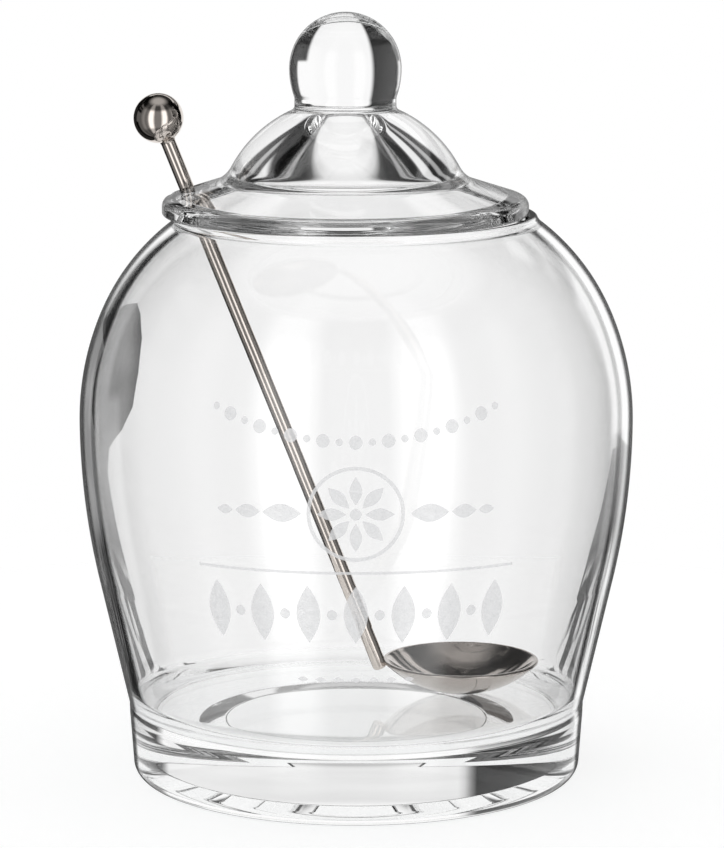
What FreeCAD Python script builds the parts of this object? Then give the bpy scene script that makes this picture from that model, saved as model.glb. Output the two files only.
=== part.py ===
import FreeCAD, Part
import math
import os
import Sketcher

# Glass olive jar with a loose lid and a long steel olive spoon leaning through the lid's notch.
# Millimetres, +Z up. The origin is the middle of the foot, on the surface the jar stands on.

doc = FreeCAD.newDocument("olive_jar")
sheet = doc.addObject("Spreadsheet::Sheet", "Sizes")

SIZES = [
    # jar, outside
    ("jar_height", 128.4),
    ("belly_radius", 62.5),
    ("belly_drop", 46.4),
    ("taper_run", 31.8),
    ("mouth_radius", 40.7),
    ("lip_rise", 1.2),
    ("lip_slope", 54.25),
    ("base_radius", 51.0),
    ("band_flare", 0.8),
    ("crease_level", 15.8),
    ("foot_round", 3.4),
    # jar, inside and underside
    ("wall", 2.4),
    ("rim_width", 2.2),
    ("rim_round", 0.4),
    ("floor_level", 15.7),
    ("floor_round", 7.0),
    ("foot_width", 11.6),
    ("recess_run", 6.0),
    ("recess_depth", 2.0),
    # lid
    ("lid_shift", 2.4),
    ("flange_overhang", 0.45),
    ("flange_width", 12.05),
    ("flange_seat_round", 0.7),
    ("flange_edge_round", 2.2),
    ("flange_edge_level", 4.1),
    ("flange_slope", 18.0),
    ("sweep_round", 7.0),
    ("dome_centre_level", -3.2),
    ("stem_radius", 11.4),
    ("knob_radius", 12.55),
    ("knob_flank", 19.0),
    ("knob_rise", 6.75),
    ("seat_width", 5.4),
    ("hollow_inset", 6.9),
    ("hollow_level", 5.8),
    ("hollow_slope", 48.0),
    ("hollow_curve", 55.0),
    ("hollow_round", 4.0),
    ("notch_side", 1.82),
    ("notch_end", 0.6),
    # spoon
    ("ball_radius", 5.65),
    ("rod_radius", 1.68),
    ("rod_rise", 16.1),
    ("rod_lean", 22.0),
    ("rod_overlap", 3.2),
    ("rod_set_out", 0.9),
    ("bowl_radius", 18.65),
    ("bowl_depth", 7.8),
    ("bowl_wall", 1.0),
    ("bowl_room", 3.5),
    ("spoon_offset", 9.1),
    ("spoon_turn", 6.5),
    ("rest_gap", 0.3),
]
for row, (name, value) in enumerate(SIZES, start=1):
    sheet.set(f"A{row}", name)
    sheet.set(f"B{row}", str(value))
    sheet.setAlias(f"B{row}", name)
doc.recompute()


def size(name):
    """A driving size, read back from the sheet."""
    return float(getattr(sheet, name))


def origin_plane(body, role):
    """One of a body's own origin planes."""
    return next(f for f in body.Origin.OriginFeatures if f.Role == role)


def new_body(label):
    body = doc.addObject("PartDesign::Body", label)
    body.Label = label
    return body


def new_sketch(body, name, role="XZ_Plane"):
    """A sketch on one of the body's origin planes. On XZ its axes are the radius and the height."""
    sketch = body.newObject("Sketcher::SketchObject", name)
    sketch.AttachmentSupport = (origin_plane(body, role), [""])
    sketch.MapMode = "FlatFace"
    return sketch


def vector(point):
    return FreeCAD.Vector(point[0], point[1], 0)


def point_at(centre, radius, angle):
    return (centre[0] + radius * math.cos(angle), centre[1] + radius * math.sin(angle))


def add_line(sketch, start, end):
    return sketch.addGeometry(Part.LineSegment(vector(start), vector(end)), False)


def add_arc(sketch, centre, radius, start, end):
    """An arc from one angle to a larger one, in radians, anticlockwise."""
    circle = Part.Circle(vector(centre), FreeCAD.Vector(0, 0, 1), radius)
    return sketch.addGeometry(Part.ArcOfCircle(circle, start, end), False)


def mouth_bore():
    return size("mouth_radius") - size("rim_width")


def crease_radius():
    return size("base_radius") + size("band_flare")


def flange_radius():
    return size("mouth_radius") + size("flange_overhang")


START, END, CENTRE = 1, 2, 3
ORIGIN = (-1, 1)
HORIZONTAL_AXIS, VERTICAL_AXIS = -1, -2


def join(sketch, first, first_end, second, second_end):
    sketch.addConstraint(Sketcher.Constraint("Coincident", first, first_end, second, second_end))


def join_smooth(sketch, first, first_end, second, second_end):
    sketch.addConstraint(Sketcher.Constraint("Tangent", first, first_end, second, second_end))


def bind(sketch, name, constraint, expression):
    """Adds a named size to a sketch and ties it to the sheet."""
    index = sketch.addConstraint(constraint)
    sketch.renameConstraint(index, name)
    sketch.setExpression(f"Constraints.{name}", expression)


def bind_radius(sketch, name, item, value, expression):
    bind(sketch, name, Sketcher.Constraint("Radius", item, value), expression)


def bind_x(sketch, name, item, end, value, expression):
    """Ties a point's distance from the vertical axis."""
    bind(sketch, name, Sketcher.Constraint("DistanceX", *ORIGIN, item, end, value), expression)


def bind_y(sketch, name, item, end, value, expression):
    """Ties a point's height over the sketch's origin."""
    bind(sketch, name, Sketcher.Constraint("DistanceY", *ORIGIN, item, end, value), expression)


def revolve(body, name, sketch, kind="PartDesign::Revolution"):
    feature = body.newObject(kind, name)
    feature.Profile = sketch
    feature.ReferenceAxis = (sketch, ["V_Axis"])
    feature.Angle = 360
    sketch.Visibility = False
    return feature


def angle_from(centre, point):
    return math.atan2(point[1] - centre[1], point[0] - centre[0])


def shoulder_arcs(belly, lip, lip_slope):
    """Two smooth arcs, upright at the belly and at the lip's slope above, with equally long end tangents.
    Gives the centre and radius of each, and the direction from both centres to where they meet."""
    heading = (-math.sin(lip_slope), math.cos(lip_slope))
    across = (lip[0] - belly[0], lip[1] - belly[1])
    bend = 2 - 2 * heading[1]
    reach = across[0] * heading[0] + across[1] * (1 + heading[1])
    tangent = (math.sqrt(reach**2 + bend * (across[0] ** 2 + across[1] ** 2)) - reach) / bend
    meet = (
        (belly[0] + lip[0] - tangent * heading[0]) / 2,
        (belly[1] + tangent + lip[1] - tangent * heading[1]) / 2,
    )
    drawn_in, risen = belly[0] - meet[0], meet[1] - belly[1]
    upper = (drawn_in**2 + risen**2) / (2 * drawn_in)
    upper_centre = (belly[0] - upper, belly[1])
    turn = angle_from(upper_centre, meet)
    shoulder = (meet[0] - lip[0]) / (math.cos(turn) - math.cos(lip_slope))
    shoulder_centre = point_at(meet, -shoulder, turn)
    return upper_centre, upper, shoulder_centre, shoulder, turn


def make_jar():
    """One piece of glass: foot, straight base band, crease, tapered wall, belly, shoulder and rim."""
    body = new_body("jar")
    sketch = new_sketch(body, "jar_section")
    wall = size("wall")
    height, bore = size("jar_height"), mouth_bore()
    belly = (size("belly_radius"), height - size("belly_drop"))
    crease = (crease_radius(), size("crease_level"))
    lip, lip_slope = (size("mouth_radius"), height - size("lip_rise")), math.radians(size("lip_slope"))
    foot_round, base_radius = size("foot_round"), size("base_radius")
    floor_level, floor_round = size("floor_level"), size("floor_round")

    # A straight taper rises from the crease and runs smoothly into the arc below the belly.
    swell, climb = belly[0] - crease[0], belly[1] - crease[1]
    lower = (swell**2 + climb**2 - size("taper_run") ** 2) / (2 * swell)
    lower_centre = (belly[0] - lower, belly[1])
    taper = angle_from(lower_centre, crease) + math.atan(size("taper_run") / lower)
    upper_centre, upper, shoulder_centre, shoulder, shoulder_start = shoulder_arcs(belly, lip, lip_slope)
    bore_angle = math.acos((bore - shoulder_centre[0]) / (shoulder - wall))
    # The inside taper line, and the floor's round between it and the flat floor.
    inner_foot = point_at(lower_centre, lower - wall, taper)
    along = (math.sin(taper), -math.cos(taper))
    round_level = floor_level + floor_round
    inward = (floor_round * math.cos(taper), floor_round * math.sin(taper))
    run = (round_level + inward[1] - inner_foot[1]) / along[1]
    round_centre = (inner_foot[0] + run * along[0] - inward[0], round_level)

    foot = add_line(sketch, (0, 0), (base_radius - foot_round, 0))
    corner = add_arc(sketch, (base_radius - foot_round, foot_round), foot_round, -math.pi / 2, 0)
    band = add_line(sketch, (base_radius, foot_round), crease)
    side = add_line(sketch, crease, point_at(lower_centre, lower, taper))
    low = add_arc(sketch, lower_centre, lower, taper, 0)
    high = add_arc(sketch, upper_centre, upper, 0, shoulder_start)
    top = add_arc(sketch, shoulder_centre, shoulder, shoulder_start, lip_slope)
    lip_side = add_line(sketch, lip, (lip[0], height))
    rim = add_line(sketch, (lip[0], height), (bore, height))
    bore_side = add_line(sketch, (bore, height), point_at(shoulder_centre, shoulder - wall, bore_angle))
    top_in = add_arc(sketch, shoulder_centre, shoulder - wall, shoulder_start, bore_angle)
    high_in = add_arc(sketch, upper_centre, upper - wall, 0, shoulder_start)
    low_in = add_arc(sketch, lower_centre, lower - wall, taper, 0)
    side_in = add_line(sketch, inner_foot, point_at(round_centre, floor_round, taper))
    turn_in = add_arc(sketch, round_centre, floor_round, -math.pi / 2, taper)
    floor = add_line(sketch, (round_centre[0], floor_level), (0, floor_level))
    axis = add_line(sketch, (0, floor_level), (0, 0))

    join(sketch, foot, START, *ORIGIN)
    sketch.addConstraint(Sketcher.Constraint("Horizontal", foot))
    join_smooth(sketch, foot, END, corner, START)
    join_smooth(sketch, corner, END, band, START)
    join(sketch, band, END, side, START)
    join_smooth(sketch, side, END, low, START)
    join_smooth(sketch, low, END, high, START)
    join_smooth(sketch, high, END, top, START)
    join(sketch, top, END, lip_side, START)
    sketch.addConstraint(Sketcher.Constraint("Vertical", lip_side))
    join(sketch, lip_side, END, rim, START)
    sketch.addConstraint(Sketcher.Constraint("Horizontal", rim))
    join(sketch, rim, END, bore_side, START)
    sketch.addConstraint(Sketcher.Constraint("Vertical", bore_side))
    join(sketch, bore_side, END, top_in, END)
    join_smooth(sketch, top_in, START, high_in, END)
    join_smooth(sketch, high_in, START, low_in, END)
    join_smooth(sketch, low_in, START, side_in, START)
    sketch.addConstraint(Sketcher.Constraint("Parallel", side, side_in))
    join_smooth(sketch, side_in, END, turn_in, END)
    join_smooth(sketch, turn_in, START, floor, START)
    sketch.addConstraint(Sketcher.Constraint("Horizontal", floor))
    join(sketch, floor, END, axis, START)
    sketch.addConstraint(Sketcher.Constraint("Vertical", axis))
    join(sketch, axis, END, *ORIGIN)
    sketch.addConstraint(Sketcher.Constraint("Horizontal", low, CENTRE, low, END))
    sketch.addConstraint(Sketcher.Constraint("Horizontal", low_in, CENTRE, low_in, END))
    sketch.addConstraint(Sketcher.Constraint("Horizontal", top, CENTRE, top_in, CENTRE))

    bind_radius(sketch, "foot_round", corner, foot_round, "Sizes.foot_round")
    bind_x(sketch, "base_radius", band, START, base_radius, "Sizes.base_radius")
    bind_x(sketch, "crease_radius", side, START, crease[0], "Sizes.base_radius + Sizes.band_flare")
    bind_y(sketch, "crease_level", side, START, crease[1], "Sizes.crease_level")
    bind_x(sketch, "belly_radius", low, END, belly[0], "Sizes.belly_radius")
    bind_y(sketch, "belly_level", low, END, belly[1], "Sizes.jar_height - Sizes.belly_drop")
    # The three long arcs have the radii worked out above, and the inside arcs are a wall smaller.
    for outside, inside, radius in ((low, low_in, lower), (high, high_in, upper), (top, top_in, shoulder)):
        sketch.addConstraint(Sketcher.Constraint("Radius", outside, radius))
        sketch.addConstraint(Sketcher.Constraint("Radius", inside, radius - wall))
    bind_x(sketch, "mouth_radius", lip_side, START, lip[0], "Sizes.mouth_radius")
    bind_y(sketch, "lip_level", lip_side, START, lip[1], "Sizes.jar_height - Sizes.lip_rise")
    bind_y(sketch, "jar_height", rim, START, height, "Sizes.jar_height")
    bind_x(sketch, "bore", rim, END, bore, "Sizes.mouth_radius - Sizes.rim_width")
    bind_x(sketch, "belly_inside", low_in, END, belly[0] - wall, "Sizes.belly_radius - Sizes.wall")
    bind_y(sketch, "belly_inside_level", low_in, END, belly[1], "Sizes.jar_height - Sizes.belly_drop")
    bind_radius(sketch, "floor_round", turn_in, floor_round, "Sizes.floor_round")
    bind_y(sketch, "floor_level", floor, START, floor_level, "Sizes.floor_level")
    glass = revolve(body, "jar_glass", sketch)
    doc.recompute()
    before = glass.Shape.Volume

    under = new_sketch(body, "recess_section")
    rise, outer = size("recess_depth"), base_radius - foot_round - size("foot_width")
    flat = outer - size("recess_run")
    below = add_line(under, (0, 0), (outer, 0))
    slope = add_line(under, (outer, 0), (flat, rise))
    roof = add_line(under, (flat, rise), (0, rise))
    close = add_line(under, (0, rise), (0, 0))
    join(under, below, START, *ORIGIN)
    under.addConstraint(Sketcher.Constraint("Horizontal", below))
    join(under, below, END, slope, START)
    join(under, slope, END, roof, START)
    under.addConstraint(Sketcher.Constraint("Horizontal", roof))
    join(under, roof, END, close, START)
    under.addConstraint(Sketcher.Constraint("Vertical", close))
    join(under, close, END, *ORIGIN)
    recess_rule = "Sizes.base_radius - Sizes.foot_round - Sizes.foot_width"
    bind_x(under, "recess_radius", slope, START, outer, recess_rule)
    bind_x(under, "recess_flat", roof, START, flat, f"{recess_rule} - Sizes.recess_run")
    bind_y(under, "recess_depth", roof, START, rise, "Sizes.recess_depth")
    recess = revolve(body, "foot_recess", under, "PartDesign::Groove")
    doc.recompute()
    if not recess.Shape.Volume < before - 1:
        raise RuntimeError("the foot's recess cuts nothing")

    rims = [
        f"Edge{number}"
        for number, edge in enumerate(recess.Shape.Edges, start=1)
        if edge.BoundBox.ZLength < 0.01 and abs(edge.BoundBox.ZMax - height) < 0.01
    ]
    rounding = body.newObject("PartDesign::Fillet", "rim_rounding")
    rounding.Base = (recess, rims)
    rounding.setExpression("Radius", "Sizes.rim_round")
    doc.recompute()
    return body


def make_lid(notch_turn, notch_end):
    """One piece of glass: seat, sloping flange with a notch for the spoon, hollow dome and solid knob."""
    body = new_body("lid")
    sketch = new_sketch(body, "lid_section")
    flange, seat_round, edge_round = flange_radius(), size("flange_seat_round"), size("flange_edge_round")
    edge_level, slope = size("flange_edge_level"), math.radians(size("flange_slope"))
    dome, dome_centre = flange - size("flange_width"), (0, size("dome_centre_level"))
    sweep, stem = size("sweep_round"), size("stem_radius")
    knob, knob_centre = size("knob_radius"), (0, dome_centre[1] + dome + size("knob_rise"))
    flange_rule = "Sizes.mouth_radius + Sizes.flange_overhang"
    dome_rule = f"{flange_rule} - Sizes.flange_width"

    # The edge's round ends where the flange's slope starts.
    edge_centre = (flange - edge_round, edge_level - edge_round)
    slope_angle = math.pi / 2 - slope
    slope_start = point_at(edge_centre, edge_round, slope_angle)
    # The sweep touches the sloping line from above and the dome from outside.
    normal = (math.cos(slope_angle), math.sin(slope_angle))
    offset = (slope_start[0] + sweep * normal[0], slope_start[1] + sweep * normal[1])
    uphill = (-math.sin(slope_angle), math.cos(slope_angle))
    gap = (offset[0] - dome_centre[0], offset[1] - dome_centre[1])
    half = gap[0] * uphill[0] + gap[1] * uphill[1]
    root = math.sqrt(half**2 - (gap[0] ** 2 + gap[1] ** 2 - (dome + sweep) ** 2))
    travel = -half - root
    sweep_centre = (offset[0] + travel * uphill[0], offset[1] + travel * uphill[1])
    slope_end = (slope_start[0] + travel * uphill[0], slope_start[1] + travel * uphill[1])
    dome_low = angle_from(dome_centre, sweep_centre)
    dome_high = math.acos(stem / dome)
    stem_low = point_at(dome_centre, dome, dome_high)
    # Below its widest level the knob draws in more slowly, down to the stem.
    knob_flank = size("knob_flank")
    flank_centre = (knob - knob_flank, knob_centre[1])
    flank_low = -math.acos((stem - flank_centre[0]) / knob_flank)
    stem_high = point_at(flank_centre, knob_flank, flank_low)

    seat = add_line(sketch, (0, 0), (flange - seat_round, 0))
    heel = add_arc(sketch, (flange - seat_round, seat_round), seat_round, -math.pi / 2, 0)
    edge = add_line(sketch, (flange, seat_round), (flange, edge_centre[1]))
    brow = add_arc(sketch, edge_centre, edge_round, 0, slope_angle)
    ramp = add_line(sketch, slope_start, slope_end)
    turn = add_arc(sketch, sweep_centre, sweep, dome_low + math.pi, slope_angle + math.pi)
    crown = add_arc(sketch, dome_centre, dome, dome_low, dome_high)
    neck = add_line(sketch, stem_low, stem_high)
    waist = add_arc(sketch, flank_centre, knob_flank, flank_low, 0)
    ball = add_arc(sketch, knob_centre, knob, 0, math.pi / 2)
    axis = add_line(sketch, (0, knob_centre[1] + knob), (0, 0))

    join(sketch, seat, START, *ORIGIN)
    sketch.addConstraint(Sketcher.Constraint("Horizontal", seat))
    join_smooth(sketch, seat, END, heel, START)
    join_smooth(sketch, heel, END, edge, START)
    sketch.addConstraint(Sketcher.Constraint("Vertical", edge))
    join_smooth(sketch, edge, END, brow, START)
    join_smooth(sketch, brow, END, ramp, START)
    join_smooth(sketch, ramp, END, turn, END)
    join_smooth(sketch, turn, START, crown, START)
    join(sketch, crown, END, neck, START)
    sketch.addConstraint(Sketcher.Constraint("Vertical", neck))
    join(sketch, neck, END, waist, START)
    join_smooth(sketch, waist, END, ball, START)
    sketch.addConstraint(Sketcher.Constraint("Horizontal", waist, CENTRE, ball, CENTRE))
    join(sketch, ball, END, axis, START)
    sketch.addConstraint(Sketcher.Constraint("Vertical", axis))
    join(sketch, axis, END, *ORIGIN)
    for arc in (crown, ball):
        sketch.addConstraint(Sketcher.Constraint("PointOnObject", arc, CENTRE, VERTICAL_AXIS))

    bind_radius(sketch, "seat_round", heel, seat_round, "Sizes.flange_seat_round")
    bind_radius(sketch, "edge_round", brow, edge_round, "Sizes.flange_edge_round")
    bind_x(sketch, "flange_radius", edge, START, flange, flange_rule)
    edge_rule = "Sizes.flange_edge_level - Sizes.flange_edge_round"
    bind_y(sketch, "edge_level", brow, CENTRE, edge_centre[1], edge_rule)
    slope_rule = Sketcher.Constraint("Angle", HORIZONTAL_AXIS, START, ramp, END, -slope)
    bind(sketch, "slope", slope_rule, "-Sizes.flange_slope")
    bind_radius(sketch, "sweep_round", turn, sweep, "Sizes.sweep_round")
    bind_radius(sketch, "dome_radius", crown, dome, dome_rule)
    bind_y(sketch, "dome_centre", crown, CENTRE, dome_centre[1], "Sizes.dome_centre_level")
    bind_x(sketch, "stem_radius", neck, START, stem, "Sizes.stem_radius")
    bind_radius(sketch, "knob_radius", ball, knob, "Sizes.knob_radius")
    bind_radius(sketch, "knob_flank", waist, knob_flank, "Sizes.knob_flank")
    knob_rule = f"Sizes.dome_centre_level + {dome_rule} + Sizes.knob_rise"
    bind_y(sketch, "knob_level", ball, CENTRE, knob_centre[1], knob_rule)
    glass = revolve(body, "lid_glass", sketch)
    doc.recompute()
    solid_volume = glass.Shape.Volume

    under = new_sketch(body, "hollow_section")
    hollow = (dome - size("hollow_inset"), size("hollow_level"))
    hollow_round, hollow_slope = size("hollow_round"), math.radians(size("hollow_slope"))
    # The flank rises at the hollow's slope and bends inward. The roof's round touches it and sits on the axis.
    curve = size("hollow_curve")
    flank_start = math.pi / 2 - hollow_slope
    curve_centre = point_at(hollow, -curve, flank_start)
    roof_level = curve_centre[1] + math.sqrt((curve - hollow_round) ** 2 - curve_centre[0] ** 2)
    roof_start = angle_from(curve_centre, (0, roof_level))
    seat_inside = flange - seat_round - size("seat_width")
    mouth = add_line(under, (0, 0), (seat_inside, 0))
    cheek = add_line(under, (seat_inside, 0), hollow)
    flank = add_arc(under, curve_centre, curve, flank_start, roof_start)
    roof = add_arc(under, (0, roof_level), hollow_round, roof_start, math.pi / 2)
    middle = add_line(under, (0, roof_level + hollow_round), (0, 0))
    join(under, mouth, START, *ORIGIN)
    under.addConstraint(Sketcher.Constraint("Horizontal", mouth))
    join(under, mouth, END, cheek, START)
    join(under, cheek, END, flank, START)
    join_smooth(under, flank, END, roof, START)
    join(under, roof, END, middle, START)
    under.addConstraint(Sketcher.Constraint("Vertical", middle))
    join(under, middle, END, *ORIGIN)
    under.addConstraint(Sketcher.Constraint("PointOnObject", roof, CENTRE, VERTICAL_AXIS))
    seat_rule = f"{flange_rule} - Sizes.flange_seat_round - Sizes.seat_width"
    bind_x(under, "seat_inside", cheek, START, seat_inside, seat_rule)
    hollow_rule = f"{dome_rule} - Sizes.hollow_inset"
    bind_x(under, "hollow_radius", flank, START, hollow[0], hollow_rule)
    bind_y(under, "hollow_level", flank, START, hollow[1], "Sizes.hollow_level")
    bind_radius(under, "hollow_curve", flank, curve, "Sizes.hollow_curve")
    bind_radius(under, "hollow_round", roof, hollow_round, "Sizes.hollow_round")
    centre_rule = Sketcher.Constraint("DistanceX", flank, CENTRE, *ORIGIN, -curve_centre[0])
    bind(under, "hollow_slope", centre_rule, f"Sizes.hollow_curve * sin(Sizes.hollow_slope) - ({hollow_rule})")
    hollowed = revolve(body, "lid_hollow", under, "PartDesign::Groove")
    doc.recompute()
    hollow_volume = hollowed.Shape.Volume
    if not hollow_volume < solid_volume - 1:
        raise RuntimeError("the lid's hollow cuts nothing")

    notch = new_sketch(body, "notch_outline", "XY_Plane")
    # The notch runs along the sketch's own X axis, from its round end out past the flange.
    notch.AttachmentOffset = FreeCAD.Placement(
        FreeCAD.Vector(0, 0, 0), FreeCAD.Rotation(FreeCAD.Vector(0, 0, 1), notch_turn)
    )
    half = size("rod_radius") + size("notch_side")
    far = flange + half
    left = add_line(notch, (notch_end + half, half), (far, half))
    out = add_line(notch, (far, half), (far, -half))
    right = add_line(notch, (far, -half), (notch_end + half, -half))
    bend = add_arc(notch, (notch_end + half, 0), half, math.pi / 2, 3 * math.pi / 2)
    join(notch, left, END, out, START)
    join(notch, out, END, right, START)
    join_smooth(notch, right, END, bend, END)
    join_smooth(notch, bend, START, left, START)
    notch.addConstraint(Sketcher.Constraint("Horizontal", left))
    notch.addConstraint(Sketcher.Constraint("Horizontal", right))
    notch.addConstraint(Sketcher.Constraint("Vertical", out))
    notch.addConstraint(Sketcher.Constraint("PointOnObject", bend, CENTRE, HORIZONTAL_AXIS))
    half_rule = "Sizes.rod_radius + Sizes.notch_side"
    bind_radius(notch, "half_width", bend, half, half_rule)
    bind_x(notch, "beyond_flange", out, START, far, f"{flange_rule} + {half_rule}")
    notch.addConstraint(Sketcher.Constraint("DistanceX", *ORIGIN, bend, CENTRE, notch_end + half))
    slot = body.newObject("PartDesign::Pocket", "spoon_notch")
    slot.Profile = notch
    slot.Type = "ThroughAll"
    slot.Reversed = True
    notch.Visibility = False
    doc.recompute()
    if not slot.Shape.Volume < hollow_volume - 1:
        raise RuntimeError("the notch cuts nothing")
    body.setExpression("Placement.Base.x", "-Sizes.lid_shift")
    body.setExpression("Placement.Base.z", "Sizes.jar_height")
    return body


class SpoonPlan:
    """Where the spoon stands. Its bowl is part of a ball, so it can tip on the floor about that ball's middle
    until its rod leans on the inside of the jar's rim."""

    def __init__(self):
        bowl_radius, depth = size("bowl_radius"), size("bowl_depth")
        self.curve = (bowl_radius**2 + depth**2) / (2 * depth)
        self.rim_drop = self.curve - depth
        own_lean = math.radians(size("rod_lean"))
        self.own_lean = own_lean
        self.set_out = bowl_radius + size("rod_set_out")
        offset, bore = size("spoon_offset"), mouth_bore()
        # The bowl stands this far along, its rim a little clear of the jar's wall.
        stand = crease_radius() - size("wall") - size("bowl_room") - bowl_radius
        reach = math.sqrt(stand**2 - offset**2)
        self.centre_level = size("floor_level") + size("rest_gap") + self.curve
        # In the spoon's upright plane: the rim's inner edge, seen from the middle of the bowl's ball.
        across = reach + math.sqrt(bore**2 - offset**2)
        up = size("jar_height") - self.centre_level
        rod_distance = self.set_out * math.cos(own_lean) + self.rim_drop * math.sin(own_lean)
        held = rod_distance + size("rod_radius") + size("rest_gap")
        self.lean = math.acos(held / math.hypot(across, up)) - math.atan2(up, across)
        turn = math.radians(size("spoon_turn"))
        self.along = (math.cos(turn), math.sin(turn))
        self.aside = (-math.sin(turn), math.cos(turn))
        base = FreeCAD.Vector(
            reach * self.along[0] + offset * self.aside[0],
            reach * self.along[1] + offset * self.aside[1],
            self.centre_level,
        )
        yaw = FreeCAD.Rotation(FreeCAD.Vector(0, 0, 1), size("spoon_turn"))
        tip = FreeCAD.Rotation(FreeCAD.Vector(0, 1, 0), math.degrees(own_lean - self.lean))
        self.placement = FreeCAD.Placement(base, yaw.multiply(tip))
        # The rod's axis, in the spoon's own frame, whose origin is the middle of the bowl's ball.
        self.direction = FreeCAD.Vector(-math.sin(own_lean), 0, math.cos(own_lean))
        self.joint = FreeCAD.Vector(-self.set_out, 0, -self.rim_drop)
        # How far the rod runs up from that point, to end a set height over the jar's rim.
        joint_level = self.placement.multVec(self.joint).z
        self.rod_top = (size("jar_height") + size("rod_rise") - joint_level) / math.cos(self.lean)

    def rod_at(self, level):
        """The middle of the rod at a height over the jar's foot."""
        point = self.placement.multVec(self.joint)
        heading = self.placement.Rotation.multVec(self.direction)
        return point + heading * ((level - point.z) / heading.z)


def make_bowl(plan):
    """The spoon's round bowl, a shallow dish of even thickness with a softened rim."""
    body = new_body("spoon_bowl")
    sketch = new_sketch(body, "bowl_section")
    radius, wall, curve, drop = size("bowl_radius"), size("bowl_wall"), plan.curve, plan.rim_drop
    inner = curve - wall
    rim_angle = -math.asin(drop / curve)
    inner_angle = -math.asin(drop / inner)
    outside = add_arc(sketch, (0, 0), curve, -math.pi / 2, rim_angle)
    rim = add_line(sketch, point_at((0, 0), curve, rim_angle), point_at((0, 0), inner, inner_angle))
    inside = add_arc(sketch, (0, 0), inner, -math.pi / 2, inner_angle)
    axis = add_line(sketch, (0, -inner), (0, -curve))
    join(sketch, outside, CENTRE, *ORIGIN)
    join(sketch, inside, CENTRE, *ORIGIN)
    join(sketch, outside, END, rim, START)
    join(sketch, rim, END, inside, END)
    sketch.addConstraint(Sketcher.Constraint("Horizontal", rim))
    join(sketch, inside, START, axis, START)
    join(sketch, axis, END, outside, START)
    sketch.addConstraint(Sketcher.Constraint("PointOnObject", axis, START, VERTICAL_AXIS))
    sketch.addConstraint(Sketcher.Constraint("PointOnObject", axis, END, VERTICAL_AXIS))
    curve_rule = "(Sizes.bowl_radius^2 + Sizes.bowl_depth^2) / (2 * Sizes.bowl_depth)"
    bind_radius(sketch, "outside_curve", outside, curve, curve_rule)
    bind_radius(sketch, "inside_curve", inside, inner, f"{curve_rule} - Sizes.bowl_wall")
    bind_x(sketch, "bowl_radius", outside, END, radius, "Sizes.bowl_radius")
    dish = revolve(body, "bowl_dish", sketch)
    doc.recompute()
    rims = [
        f"Edge{number}"
        for number, edge in enumerate(dish.Shape.Edges, start=1)
        if edge.BoundBox.ZLength < 0.01 and abs(edge.BoundBox.ZMax + drop) < 0.01
    ]
    rounding = body.newObject("PartDesign::Fillet", "bowl_rim_rounding")
    rounding.Base = (dish, rims)
    rounding.setExpression("Radius", "Sizes.bowl_wall * 0.3")
    body.Placement = plan.placement
    doc.recompute()
    return body


def along_rod(plan, distance):
    """A placement on the rod's axis, Z along the rod, this far from the point level with the bowl's rim."""
    turn = FreeCAD.Rotation(FreeCAD.Vector(0, 0, 1), plan.direction)
    return FreeCAD.Placement(plan.joint + plan.direction * distance, turn)


def make_rod(plan):
    """The straight rod, with its lower end cut to seat on the outside of the bowl."""
    bar = doc.addObject("Part::Cylinder", "rod_bar")
    bar.setExpression("Radius", "Sizes.rod_radius")
    bar.Height = plan.rod_top + size("rod_overlap")
    bar.Placement = along_rod(plan, -size("rod_overlap"))
    room = doc.addObject("Part::Sphere", "bowl_room")
    room.Radius = plan.curve
    room.Angle1 = -90
    room.Angle2 = -math.degrees(math.asin(plan.rim_drop / plan.curve))
    rod = doc.addObject("Part::Cut", "spoon_rod")
    rod.Label = "spoon_rod"
    rod.Base = bar
    rod.Tool = room
    doc.recompute()
    rod.Placement = plan.placement
    return rod


def make_ball(plan):
    """The ball on top, with a small flat that the rod's end butts against."""
    ball = doc.addObject("Part::Sphere", "spoon_ball")
    ball.Label = "spoon_ball"
    ball.setExpression("Radius", "Sizes.ball_radius")
    ball.setExpression("Angle1", "-acos(Sizes.rod_radius / Sizes.ball_radius)")
    sink = math.sqrt(size("ball_radius") ** 2 - size("rod_radius") ** 2)
    ball.Placement = plan.placement.multiply(along_rod(plan, plan.rod_top + sink))
    return ball


def notch_for(plan):
    """Which way the notch points from the lid's axis, in degrees, and how near that axis its end comes."""
    foot = plan.rod_at(size("jar_height")) + FreeCAD.Vector(size("lid_shift"), 0, 0)
    distance = math.hypot(foot.x, foot.y)
    rod_half = size("rod_radius") / math.cos(plan.lean)
    return math.degrees(math.atan2(foot.y, foot.x)), distance - rod_half - size("notch_end")


spoon = SpoonPlan()
nodes = [
    make_jar(),
    make_lid(*notch_for(spoon)),
    make_bowl(spoon),
    make_rod(spoon),
    make_ball(spoon),
]
doc.recompute()

for item in doc.Objects:
    if "Invalid" in item.State or "Error" in item.State:
        raise RuntimeError(f"{item.Name} failed: {item.State}")
for sketch in doc.findObjects("Sketcher::SketchObject"):
    if not sketch.FullyConstrained:
        raise RuntimeError(f"{sketch.Name} is not fully constrained")
for node in nodes:
    if node.Shape.isNull() or not node.Shape.isValid() or len(node.Shape.Solids) != 1:
        raise RuntimeError(f"{node.Label} is not one valid solid")

os.makedirs("parts", exist_ok=True)
for node in nodes:
    node.Shape.exportStep(f"parts/{node.Label}.step")
    reach = node.Shape.BoundBox
    size_now = f"{reach.XLength:.1f} x {reach.YLength:.1f} x {reach.ZLength:.1f} mm"
    print(f"{node.Label}: {node.Shape.Volume:.0f} mm3 in {size_now}")
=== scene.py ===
import math

import bmesh
import bpy
from mathutils import Matrix, Vector


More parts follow.
